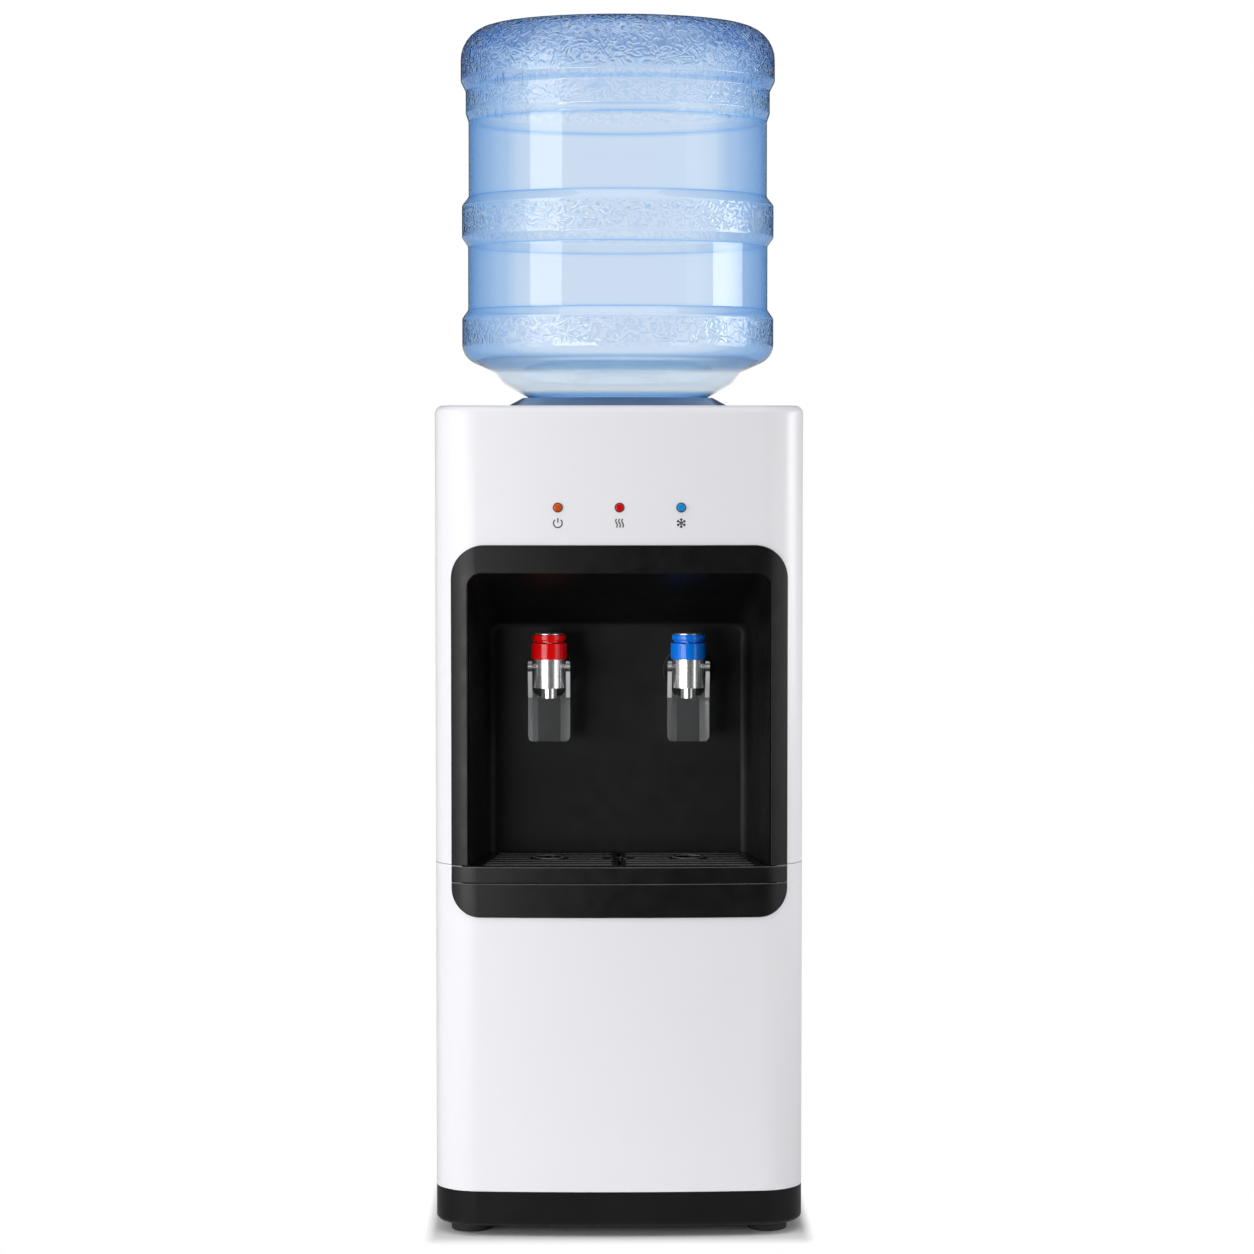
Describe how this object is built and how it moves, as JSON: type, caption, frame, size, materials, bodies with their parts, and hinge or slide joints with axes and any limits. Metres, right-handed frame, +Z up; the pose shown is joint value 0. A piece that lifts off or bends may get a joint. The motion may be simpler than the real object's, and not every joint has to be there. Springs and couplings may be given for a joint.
{
  "type": "bottled water dispenser",
  "caption": "Floor-standing hot and cold water dispenser with an upturned bottle, push-lever taps in a niche, and a pull-out drip tray.",
  "frame": {"origin": "centre of the footprint on the floor, under the bottle's axis", "axes": "+Z up, the niche and taps face -Y, the cold tap is towards +X"},
  "size_m": [0.308, 0.3115, 1.02],
  "materials": {
    "white_abs": "glossy moulded",
    "white_steel": "gloss powder coat",
    "black_abs": "satin moulded",
    "black_rubber": "matte",
    "galvanised": "bare sheet",
    "steel": "satin",
    "bottle_blue": "clear tinted",
    "cap_white": "satin",
    "seat_blue": "glossy moulded",
    "probe_white": "satin",
    "board_green": "solder mask",
    "lens_amber": "clear tinted",
    "lens_red": "clear tinted",
    "lens_blue": "clear tinted",
    "foam": "expanded foam",
    "copper": "drawn tube",
    "heater_mica": "wrapped band",
    "silicone": "translucent hose",
    "compressor_black": "black painted",
    "condenser_black": "black painted wire",
    "chrome": "plated",
    "tap_red": "glossy",
    "tap_blue": "glossy",
    "lever_clear": "clear",
    "rocker_red": "glossy",
    "rocker_blue": "glossy"
  },
  "bodies": {
    "cabinet": {"base_plinth": "black_abs", "feet": "black_rubber", "left_side_panel": "white_steel", "right_side_panel": "white_steel", "rear_panel": "galvanised", "panel_screws": "steel", "upper_fascia": "white_abs", "lower_front_panel": "white_abs", "top_deck": "white_abs", "niche_liner": "black_abs", "tray_apron": "black_abs", "mid_shelf": "galvanised", "tank_shelf": "galvanised", "bottle_seat": "seat_blue", "feed_probe": "probe_white", "indicator_board": "board_green", "power_lens": "lens_amber", "hot_lens": "lens_red", "cold_lens": "lens_blue", "cold_tank": "steel", "cold_tank_lid": "black_abs", "evaporator_coil": "copper", "foam_jacket": "foam", "hot_tank": "steel", "heater_band": "heater_mica", "drain_cap": "black_abs", "hot_hose": "silicone", "cold_hose": "silicone", "transfer_hose": "silicone", "compressor": "compressor_black", "compressor_mounts": "black_rubber", "condenser": "condenser_black", "condenser_clips": "black_abs", "refrigerant_lines": "copper", "switch_frames": "black_abs", "cable_gland": "black_abs", "tap_wall_rings": "black_abs", "tap_nuts": "black_abs", "hot_tap_body": "chrome", "hot_tap_bonnet": "tap_red", "hot_tap_spring": "steel", "cold_tap_body": "chrome", "cold_tap_bonnet": "tap_blue", "cold_tap_spring": "steel"},
    "bottle": {"bottle": "bottle_blue", "bottle_cap": "cap_white"},
    "drip_tray": {"drip_tray": "black_abs"},
    "drip_grille": {"drip_grille": "black_abs"},
    "hot_lever": {"hot_tap_lever": "lever_clear"},
    "hot_stem": {"hot_tap_stem": "steel", "hot_tap_seal": "silicone", "hot_tap_knob": "tap_red", "hot_tap_disc": "chrome"},
    "cold_lever": {"cold_tap_lever": "lever_clear"},
    "cold_stem": {"cold_tap_stem": "steel", "cold_tap_seal": "silicone", "cold_tap_knob": "tap_blue", "cold_tap_disc": "chrome"},
    "hot_rocker": {"hot_rocker": "rocker_red"},
    "cold_rocker": {"cold_rocker": "rocker_blue"}
  },
  "joints": [
    {"name": "bottle_lift", "type": "slide", "parent": "cabinet", "child": "bottle", "axis": [0, 0, 1], "range_m": [0, 0.12]},
    {"name": "tray_pull", "type": "slide", "parent": "cabinet", "child": "drip_tray", "axis": [0, -1, 0], "range_m": [0, 0.13]},
    {"name": "grille_lift", "type": "slide", "parent": "drip_tray", "child": "drip_grille", "axis": [0, 0, 1], "range_m": [0, 0.05]},
    {"name": "hot_lever_push", "type": "hinge", "parent": "cabinet", "child": "hot_lever", "pos_m": [-0.059, -0.09225, 0.4745], "axis": [1, 0, 0], "range_deg": [0, 15], "stiffness_Nm_per_rad": 0.25, "springref_deg": -17.19},
    {"name": "hot_stem_lift", "type": "slide", "parent": "cabinet", "child": "hot_stem", "axis": [0, 0, 1], "range_m": [0, 0.00183], "deforming": ["hot_tap_spring"]},
    {"name": "cold_lever_push", "type": "hinge", "parent": "cabinet", "child": "cold_lever", "pos_m": [0.059, -0.09225, 0.4745], "axis": [1, 0, 0], "range_deg": [0, 15], "stiffness_Nm_per_rad": 0.25, "springref_deg": -17.19},
    {"name": "cold_stem_lift", "type": "slide", "parent": "cabinet", "child": "cold_stem", "axis": [0, 0, 1], "range_m": [0, 0.00183], "deforming": ["cold_tap_spring"]},
    {"name": "hot_switch", "type": "hinge", "parent": "cabinet", "child": "hot_rocker", "pos_m": [-0.04, 0.13375, 0.235], "axis": [1, 0, 0], "range_deg": [0, 16]},
    {"name": "cold_switch", "type": "hinge", "parent": "cabinet", "child": "cold_rocker", "pos_m": [-0.07, 0.13375, 0.235], "axis": [1, 0, 0], "range_deg": [0, 16]}
  ],
  "couplings": [
    {"joint": "hot_stem_lift", "follows": "hot_lever_push", "m_per_rad": 0.007},
    {"joint": "cold_stem_lift", "follows": "cold_lever_push", "m_per_rad": 0.007}
  ]
}
